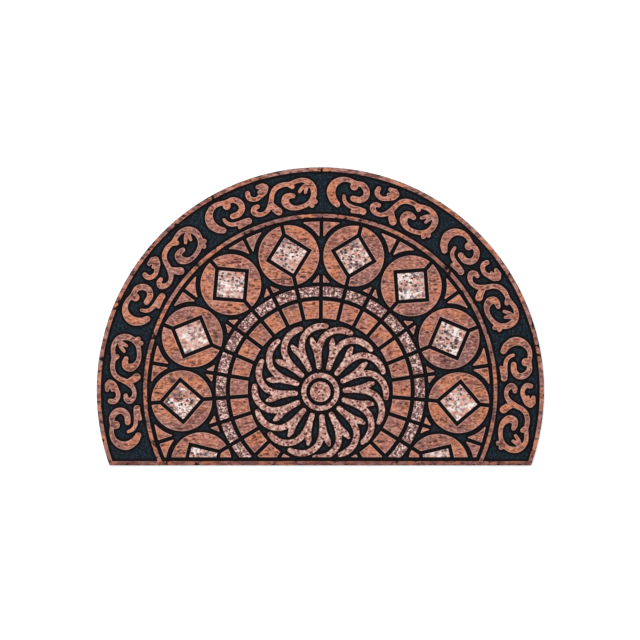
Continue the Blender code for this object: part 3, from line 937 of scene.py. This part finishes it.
def cap(elements, row, first):
    """Triangles that fill elements at one row of a carried grid, holes left open, numbered from first."""
    rings = list(chain.from_iterable(elements))
    sizes = np.array([len(ring) for ring in rings])
    ends = np.cumsum(sizes)
    outlines = [row[end - size : end, :2] for size, end in zip(sizes, ends)]
    hole = np.array([signed_area(outline) < 0 for outline in outlines])
    _, triangles, covered, source = triangulated([anticlockwise(outline) for outline in outlines])
    element_of = np.repeat(np.arange(len(elements)), [len(element) for element in elements])
    inside = np.zeros(len(triangles), bool)
    for number in range(len(elements)):
        own = element_of == number
        inside |= covered[:, own & ~hole].any(axis=1) & ~covered[:, own & hole].any(axis=1)
    kept = triangles[inside]
    # A hole's points were handed in backwards, so its places are turned back
    ring_of = np.repeat(np.arange(len(rings)), sizes)
    place_in = np.arange(ends[-1])
    mirrored = (2 * ends - sizes - 1)[ring_of] - place_in
    turned_back = np.where(hole[ring_of], mirrored, place_in)
    if (source[kept] < 0).any():
        raise RuntimeError("A cap's outline crosses itself")
    return first + turned_back[source[kept]]


def mesh_object(name, points, faces, smooth, attributes):
    """A mesh object at the origin from a table of points, faces and point attributes."""
    mesh = bpy.data.meshes.new(name)
    mesh.from_pydata(points, [], faces)
    mesh.polygons.foreach_set("use_smooth", smooth)
    for attribute, values in attributes.items():
        layer = mesh.attributes.new(attribute, "FLOAT", "POINT")
        layer.data.foreach_set("value", np.ascontiguousarray(values, dtype=np.float32))
    mesh.validate()
    mesh.update()
    made = bpy.data.objects.new(name, mesh)
    bpy.context.scene.collection.objects.link(made)
    return made


def raised_piece(name, elements, material, seed, outer_profile=RAISED_PROFILE):
    """Closed raised solids: the raised profile carried along their rings, with a top and a bottom cap."""
    profiles = [RAISED_PROFILE] * sum(map(len, elements))
    profiles[0] = outer_profile
    grid, quads, outward = carried(elements, profiles)
    count = grid.shape[1]
    top = cap(elements, grid[-1], (len(grid) - 1) * count)
    bottom = cap(elements, grid[0], 0)[:, ::-1]
    faces = quads.tolist() + top.tolist() + bottom.tolist()
    smooth = np.arange(len(faces)) < len(quads)
    tints = np.random.default_rng(seed).random(len(elements))
    points_in = [sum(map(len, element)) for element in elements]
    tint = np.tile(np.repeat(tints, points_in), len(grid))
    # edge_mm tells how far inside the outline a point lies, which sets the painted edge highlight
    attributes = {"edge_mm": -1000 * outward.ravel(), "element": tint}
    made = mesh_object(name, grid.reshape(-1, 3), faces, smooth, attributes)
    made.data.materials.append(material)
    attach(made, BODY)
    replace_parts(made, NODE)


def distance_grid(points, low, shape):
    """Distance from each node of a square grid to the nearest of the points, up to a reach.

    The nodes nearest to a point are marked. Each node takes the least distance at which a mark lies when
    the marks are shifted by every whole number of cells within the reach.
    """
    marks = np.zeros(shape, bool)
    marks[tuple(np.round((points - low) / GRID_CELL).astype(int).T)] = True
    distance = np.full(shape, GRID_REACH)
    span = math.ceil(GRID_REACH / GRID_CELL)
    for across in range(-span, span + 1):
        for along in range(-span, span + 1):
            gap = GRID_CELL * math.hypot(across, along)
            nearer = np.roll(marks, (across, along), axis=(0, 1)) & (distance > gap)
            distance[nearer] = gap
    return distance


def base_piece(material, ground_step):
    """The closed rubber base: its side profile carried round the outline, a flat underside, and the ground.

    The ground is triangulated through the foot of every raised piece and through grid points between them,
    and each point knows how far it is from the nearest foot.
    """
    outline = frame_elements()[0][:1]
    grid, quads, _ = carried([outline], [BASE_SIDE_PROFILE])
    count = grid.shape[1]
    rings = list(chain.from_iterable(all_elements()))[1:]
    points, before, after = linked(rings)
    feet = points + RAISED_FOOT * outward_steps(points, before, after)
    ends = np.cumsum([len(ring) for ring in rings])
    foot_rings = [feet[end - len(ring) : end] for ring, end in zip(rings, ends)]
    fine_feet = np.vstack([evenly_spaced(ring, FINE_STEP, 0) for ring in foot_rings])

    low = np.array([-OUTER_RADIUS, STRAIGHT_EDGE_Y]) - 2 * GRID_REACH
    high = np.array([OUTER_RADIUS, -STRAIGHT_EDGE_Y]) + 2 * GRID_REACH
    shape = tuple(np.ceil((high - low) / GRID_CELL).astype(int))
    distance = distance_grid(fine_feet, low, shape)
    stride = round(ground_step / GRID_CELL)
    nodes = np.mgrid[0 : shape[0] : stride, 0 : shape[1] : stride].reshape(2, -1).T
    lattice = low + nodes * GRID_CELL
    clear = distance[nodes[:, 0], nodes[:, 1]] > GROUND_CLEARANCE
    clear &= np.hypot(lattice[:, 0], lattice[:, 1] - CENTRE_Y) < OUTER_RADIUS - GROUND_EDGE_CLEARANCE
    clear &= lattice[:, 1] > STRAIGHT_EDGE_Y + GROUND_EDGE_CLEARANCE
    outlines = [grid[-1, :, :2]] + [anticlockwise(ring) for ring in foot_rings]
    found, triangles, covered, source = triangulated(outlines, lattice[clear])
    # The outline's points are the grid's last row, and the others are numbered on after the grid
    own = (source >= 0) & (source < count)
    after_grid = grid.size // 3 + np.cumsum(~own) - 1
    number = np.where(own, (len(grid) - 1) * count + source, after_grid)
    top = number[triangles[covered[:, 0]]]
    bottom = cap([outline], grid[0], 0)[:, ::-1]
    others = np.column_stack([found[~own], np.full((~own).sum(), GROUND_HEIGHT)])
    every = np.vstack([grid.reshape(-1, 3), others])
    cells = np.round((every[:, :2] - low) / GRID_CELL).astype(int)
    # How far each point lies from the nearest foot, which sets the painted shade in the grooves
    reach = 1000 * distance[cells[:, 0], cells[:, 1]]
    faces = quads.tolist() + top.tolist() + bottom.tolist()
    smooth = np.arange(len(faces)) < len(quads)
    made = mesh_object("rubber_base", every, faces, smooth, {"edge_mm": reach})
    made.data.materials.append(material)
    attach(made, BODY)
    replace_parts(made, NODE)
    return made


def add_node(tree, kind, inputs=None, **settings):
    """A shader node with its settings. An input is a value, or the output socket that it is linked to."""
    made = tree.nodes.new("ShaderNode" + kind)
    for name, value in settings.items():
        setattr(made, name, value)
    for name, value in (inputs or {}).items():
        if isinstance(value, bpy.types.NodeSocket):
            tree.links.new(value, made.inputs[name])
        else:
            made.inputs[name].default_value = value
    return made


def blended(tree, factor, below, above):
    """The colour above laid over the colour below by a factor: sockets 0, 6 and 7 of a Mix of colours."""
    below, above = ((*c, 1) if isinstance(c, tuple) else c for c in (below, above))
    return add_node(tree, "Mix", {0: factor, 6: below, 7: above}, data_type="RGBA").outputs[2]


def maths(tree, operation, first, second=0.0):
    """One operation on a number or socket, or on two."""
    return add_node(tree, "Math", {0: first, 1: second}, operation=operation).outputs[0]


def ramp(tree, value, start, full, strength=1.0):
    """A smooth rise from nothing at the first level to the strength at the second."""
    inputs = {"Value": value, "From Min": start, "From Max": full, "To Max": strength}
    return add_node(tree, "MapRange", inputs, interpolation_type="SMOOTHSTEP").outputs["Result"]


def noise(tree, vector, scale, detail=2.0, seed=0.0):
    """Noise of so many features to the metre. The fourth coordinate tells patterns apart."""
    inputs = {"Vector": vector, "Scale": scale, "Detail": detail, "Roughness": 0.55, "W": seed}
    return add_node(tree, "TexNoise", inputs, noise_dimensions="4D").outputs["Fac"]


def flecks(tree, vector, scale, seed):
    """High in flecks round scattered points, seen from above.

    It is one less the distance to the nearest point, times one to two, so the flecks differ in size.
    """
    apart = add_node(tree, "VectorMath", {0: vector, 1: (seed, seed, 0)}, operation="ADD").outputs[0]
    inputs = {"Vector": apart, "Scale": scale}
    cells = add_node(tree, "TexVoronoi", inputs, voronoi_dimensions="2D")
    draw = add_node(tree, "SeparateColor", {"Color": cells.outputs["Color"]}).outputs["Red"]
    spread = maths(tree, "MULTIPLY", cells.outputs["Distance"], maths(tree, "ADD", draw, 1.0))
    return maths(tree, "SUBTRACT", 1.0, spread)


def roughened(tree, vector, scale, reach):
    """Coordinates pushed about by noise of so many features to the metre, by about a reach in metres."""
    push = add_node(tree, "TexNoise", {"Vector": vector, "Scale": scale, "Detail": 1.0}).outputs["Color"]
    centred = add_node(tree, "VectorMath", {0: push, 1: (0.5, 0.5, 0.5)}, operation="SUBTRACT").outputs[0]
    scaled = add_node(tree, "VectorMath", {0: centred, "Scale": 4 * reach}, operation="SCALE").outputs[0]
    return add_node(tree, "VectorMath", {0: vector, 1: scaled}, operation="ADD").outputs[0]


def stretched(tree, vector, times):
    """Coordinates in which a pattern is drawn out along X."""
    return add_node(tree, "Mapping", {"Vector": vector, "Scale": (1 / times, 1, 1)}).outputs["Vector"]


def new_material(name, roughness, specular):
    """A material, with its node tree and its shader."""
    made = bpy.data.materials.new(name)
    made.use_nodes = True
    shader = made.node_tree.nodes["Principled BSDF"]
    shader.inputs["Roughness"].default_value = roughness
    shader.inputs["Specular IOR Level"].default_value = specular
    return made, made.node_tree, shader


def own_place(tree):
    """The place of the shaded point in its object's coordinates."""
    return add_node(tree, "TexCoord").outputs["Object"]


def from_mesh(tree, attribute):
    """The value of one of the mesh's attributes."""
    return add_node(tree, "Attribute", attribute_name=attribute).outputs["Fac"]


def coloured_and_bumped(tree, shader, colour, height, strength, distance):
    """Gives the shader its colour, and a bump of so many metres from a height between nought and one."""
    tree.links.new(colour, shader.inputs["Base Color"])
    bump = add_node(tree, "Bump", {"Height": height, "Strength": strength, "Distance": distance})
    tree.links.new(bump.outputs["Normal"], shader.inputs["Normal"])


def rubber_material(colours):
    """Bare rubber: wide parts blue-black and mottled with pale specks, grooves and the ground beside the
    raised pieces darkened nearly to black as painted shade.
    """
    made, tree, shader = new_material("charcoal_rubber", roughness=0.8, specular=0.08)
    vector = own_place(tree)
    colour = tuple(colours.rubber)
    for mottle in MOTTLES:
        pattern = noise if mottle.kind == "cloud" else flecks
        spots = pattern(tree, vector, mottle.per_metre, seed=mottle.seed)
        cover = ramp(tree, spots, mottle.start, mottle.full, mottle.cover)
        colour = blended(tree, cover, colour, mottle.colour)
    # Painted shade: nearly black next to the raised pieces, the rubber's own mottled colour from a few
    # millimetres out
    wide = ramp(tree, from_mesh(tree, "edge_mm"), *PAINTED_GROOVE_SHADE_FADE_MM)
    colour = blended(tree, wide, tuple(colours.rubber_in_painted_shade), colour)
    crumb = noise(tree, vector, CRUMB_PER_METRE, detail=4.0)
    coloured_and_bumped(tree, shader, colour, crumb, strength=0.5, distance=0.0004)
    return made


def printed(tree, vector, element, name, main_colour):
    """The main colour with the layers of a print laid over it.

    Each layer is a pattern cut off between two levels. The element's own number shifts the clouds, so no
    two pieces are printed alike, and some elements lean towards another colour.
    """
    shift = maths(tree, "MULTIPLY", element, ELEMENT_SHIFT)
    rough = roughened(tree, vector, FLECK_EDGE_PER_METRE, FLECK_EDGE_REACH)
    edge_highlight_and_tint = EDGE_HIGHLIGHTS_AND_TINTS[name]
    draw = maths(tree, "FRACT", maths(tree, "MULTIPLY", element, LEANING_DRAW))
    leaning = ramp(tree, draw, *LEANING_FADE, edge_highlight_and_tint.leaning)
    colour = blended(tree, leaning, main_colour, edge_highlight_and_tint.leaning_colour)
    for number, layer in enumerate(PRINTS[name]):
        seed = LAYER_SHIFT * number
        if layer.kind == "cloud":
            drawn_out = stretched(tree, vector, layer.stretch)
            own_seed = maths(tree, "ADD", shift, seed)
            spots = noise(tree, drawn_out, layer.per_metre, seed=own_seed)
        else:
            spots = flecks(tree, stretched(tree, rough, layer.stretch), layer.per_metre, seed)
        cover = ramp(tree, spots, layer.start, layer.full, layer.cover)
        if layer.clusters:
            own_seed = maths(tree, "ADD", shift, seed + CLUSTER_SHIFT)
            gathered = noise(tree, vector, layer.clusters, seed=own_seed)
            cover = maths(tree, "MULTIPLY", cover, ramp(tree, gathered, *CLUSTER_FADE))
        colour = blended(tree, cover, colour, layer.colour)
    return colour


def flock_material(name, main_colour, colours):
    """Printed flock over a rubber side: a painted highlight near the edge, and below an uneven line bare
    rubber in the painted groove shade.
    """
    made, tree, shader = new_material(name, roughness=0.95, specular=0.1)
    shader.inputs["Sheen Weight"].default_value = 0.08
    shader.inputs["Sheen Roughness"].default_value = 0.6
    edge_highlight_and_tint = EDGE_HIGHLIGHTS_AND_TINTS[name]
    vector = own_place(tree)
    colour = printed(tree, vector, from_mesh(tree, "element"), name, main_colour)
    nap = noise(tree, vector, NAP_PER_METRE, detail=3.0)
    shade = tuple(NAP_SHADE * share for share in main_colour)
    colour = blended(tree, ramp(tree, nap, *NAP_FADE, NAP_COVER), colour, shade)
    # Painted highlight along the edge of the piece, fading out inward from the outline
    inner = ramp(tree, from_mesh(tree, "edge_mm"), *EDGE_HIGHLIGHT_FADE_MM, edge_highlight_and_tint.edge)
    colour = blended(tree, maths(tree, "SUBTRACT", edge_highlight_and_tint.edge, inner), colour, tuple(colours.edge))
    _, northward, height = add_node(tree, "SeparateXYZ", {"Vector": vector}).outputs
    band = ramp(tree, northward, *STRAIGHT_BAND_FADE, STRAIGHT_BAND_COVER)
    colour = blended(tree, band, colour, STRAIGHT_BAND_COLOUR)
    swing = maths(tree, "SUBTRACT", noise(tree, vector, RUBBER_LINE_SWINGS_PER_METRE), 0.5)
    line = maths(tree, "ADD", height, maths(tree, "MULTIPLY", swing, edge_highlight_and_tint.uneven / 1000))
    flocked = ramp(tree, line, *RUBBER_LINE_FADE)
    # Below the line the sides show bare rubber in the nearly black colour of the painted groove shade
    colour = blended(tree, flocked, tuple(colours.rubber_in_painted_shade), colour)
    coloured_and_bumped(tree, shader, colour, nap, strength=0.6, distance=0.0003)
    return made


def flock(name):
    """The flock with the print of this name, made on first use."""
    made = bpy.data.materials.get(name)
    if made:
        return made
    colours = bpy.context.scene.doormat_colours
    main = {
        "clay_flock": colours.clay,
        "rim_flock": colours.rim,
        "granite_flock": colours.granite,
        "rose_flock": colours.rose,
        "marble_flock": colours.marble,
    }
    return flock_material(name, tuple(main[name]), colours)


def studio_floor(settings):
    """The plain floor: a square grid of points, each four neighbours one face."""
    line = np.linspace(-FLOOR_REACH, FLOOR_REACH, FLOOR_SQUARES + 1)
    x, y = (axis.ravel() for axis in np.meshgrid(line, line))
    row = FLOOR_SQUARES + 1
    here = np.arange(FLOOR_SQUARES)[:, None] * row + np.arange(FLOOR_SQUARES)
    quads = np.stack([here, here + 1, here + row + 1, here + row], axis=2).reshape(-1, 4)
    points = np.column_stack([x, y, np.zeros(x.size)])
    floor = mesh_object("studio_floor", points, quads.tolist(), np.zeros(len(quads), bool), {})
    plain, tree, shader = new_material("studio_floor", roughness=0.9, specular=0.1)
    grain = noise(tree, own_place(tree), FLOOR_GRAIN_PER_METRE)
    cover = ramp(tree, grain, *FLOOR_GRAIN_FADE, FLOOR_GRAIN_COVER)
    colour = blended(tree, cover, tuple(settings.floor), FLOOR_GRAIN_COLOUR)
    tree.links.new(colour, shader.inputs["Base Color"])
    shader.inputs["Emission Color"].default_value = WHITE
    shader.inputs["Emission Strength"].default_value = settings.floor_glow
    floor.data.materials.append(plain)


def studio_light(scene, settings):
    """An even white sky, and a round soft light that faces the mat."""
    world = bpy.data.worlds.new("studio_sky")
    world.use_nodes = True
    sky = world.node_tree.nodes["Background"]
    sky.inputs["Color"].default_value = WHITE
    sky.inputs["Strength"].default_value = settings.sky
    scene.world = world
    light = bpy.data.lights.new("key_light", "AREA")
    light.shape, light.size, light.energy = "DISK", KEY_LIGHT_WIDTH, settings.key_power
    key = bpy.data.objects.new("key_light", light)
    key.location = KEY_LIGHT_PLACE
    key.rotation_mode = "QUATERNION"
    key.rotation_quaternion = (-key.location).to_track_quat("-Z", "Y")
    scene.collection.objects.link(key)


def studio_camera(scene, settings):
    """A camera straight above, with the lens that shows the view's width on top of the mat."""
    lens = bpy.data.cameras.new("camera")
    lens.sensor_width = SENSOR_WIDTH_MM
    lens.lens = lens.sensor_width * settings.camera_height / settings.view_width
    lens.dof.use_dof = False
    camera = bpy.data.objects.new("camera", lens)
    camera.location = (*VIEW_CENTRE, TOP_HEIGHT + settings.camera_height)
    scene.collection.objects.link(camera)
    scene.camera = camera


class DOORMAT_OT_studio(bpy.types.Operator):
    """Sets up the pale floor, the soft lights and the camera straight above"""

    bl_idname = "doormat.studio"
    bl_label = "Studio"

    def execute(self, context):
        settings = context.scene.doormat_studio
        studio_floor(settings)
        studio_light(context.scene, settings)
        studio_camera(context.scene, settings)
        context.scene.view_settings.view_transform = "Standard"
        return {"FINISHED"}


class DOORMAT_OT_frame_lines(bpy.types.Operator):
    """Raises the rim, the ring line and the band along the straight edge"""

    bl_idname = "doormat.frame_lines"
    bl_label = "Rim and Lines"

    def execute(self, context):
        flocked = flock("rim_flock")
        raised_piece("rim_and_lines", frame_elements(), flocked, 11, RIM_SIDE_PROFILE)
        return {"FINISHED"}


class DOORMAT_OT_scrolls(bpy.types.Operator):
    """Raises the six leafy scrolls of the border"""

    bl_idname = "doormat.scrolls"
    bl_label = "Scrolls"

    def execute(self, context):
        raised_piece("scrolls", scroll_elements(), flock("clay_flock"), 12)
        return {"FINISHED"}


class DOORMAT_OT_roundels(bpy.types.Operator):
    """Raises the roundels' halves, the corner pieces between them and the squares within them"""

    bl_idname = "doormat.roundels"
    bl_label = "Roundels"

    def execute(self, context):
        raised_piece("roundels", roundel_elements(), flock("clay_flock"), 13)
        raised_piece("corner_pieces", corner_elements(), flock("clay_flock"), 14)
        raised_piece("marble_squares", square_elements(), flock("marble_flock"), 15)
        return {"FINISHED"}


class DOORMAT_OT_tiles(bpy.types.Operator):
    """Raises the two rings of tiles"""

    bl_idname = "doormat.tiles"
    bl_label = "Tiles"

    def execute(self, context):
        granite, clay = tile_elements(GRANITE_TILE_RADII), tile_elements(CLAY_TILE_RADII)
        raised_piece("granite_tiles", granite, flock("granite_flock"), 16)
        raised_piece("clay_tiles", clay, flock("clay_flock"), 17)
        return {"FINISHED"}


class DOORMAT_OT_whorl(bpy.types.Operator):
    """Raises the whorl of leaves with its hub"""

    bl_idname = "doormat.whorl"
    bl_label = "Whorl"

    def execute(self, context):
        raised_piece("whorl", whorl_elements(), flock("rose_flock"), 18)
        return {"FINISHED"}


class DOORMAT_OT_base(bpy.types.Operator):
    bl_idname = "doormat.base"
    bl_label = "Rubber Base"

    def execute(self, context):
        scene = context.scene
        base = base_piece(rubber_material(scene.doormat_colours), scene.doormat_sizes.ground_step)
        return {"FINISHED"}


class DOORMAT_PT_panel(bpy.types.Panel):
    """Lists the doormat's operators"""

    bl_label = "Half-Round Doormat"
    bl_space_type = "VIEW_3D"
    bl_region_type = "UI"
    bl_category = "Doormat"

    def draw(self, context):
        for operator in OPERATORS:
            self.layout.operator(operator.bl_idname)
        for group in ("doormat_sizes", "doormat_colours", "doormat_studio"):
            settings = getattr(context.scene, group)
            for name in settings.__annotations__:
                self.layout.prop(settings, name)


# In the order in which they run: the base comes last, because its ground is drawn round what stands on it
OPERATORS = (
    DOORMAT_OT_studio,
    DOORMAT_OT_frame_lines,
    DOORMAT_OT_scrolls,
    DOORMAT_OT_roundels,
    DOORMAT_OT_tiles,
    DOORMAT_OT_whorl,
    DOORMAT_OT_base,
)
CLASSES = (DoormatSizes, DoormatColours, StudioSettings, *OPERATORS, DOORMAT_PT_panel)


def register():
    for one in CLASSES:
        bpy.utils.register_class(one)
    bpy.types.Scene.doormat_sizes = PointerProperty(type=DoormatSizes)
    bpy.types.Scene.doormat_colours = PointerProperty(type=DoormatColours)
    bpy.types.Scene.doormat_studio = PointerProperty(type=StudioSettings)


def unregister():
    del bpy.types.Scene.doormat_studio
    del bpy.types.Scene.doormat_colours
    del bpy.types.Scene.doormat_sizes
    for one in reversed(CLASSES):
        bpy.utils.unregister_class(one)


def main():
    register()
    bpy.ops.doormat.studio()
    bpy.ops.doormat.frame_lines()
    bpy.ops.doormat.scrolls()
    bpy.ops.doormat.roundels()
    bpy.ops.doormat.tiles()
    bpy.ops.doormat.whorl()
    bpy.ops.doormat.base()
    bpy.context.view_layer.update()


if __name__ == "__main__":
    main()
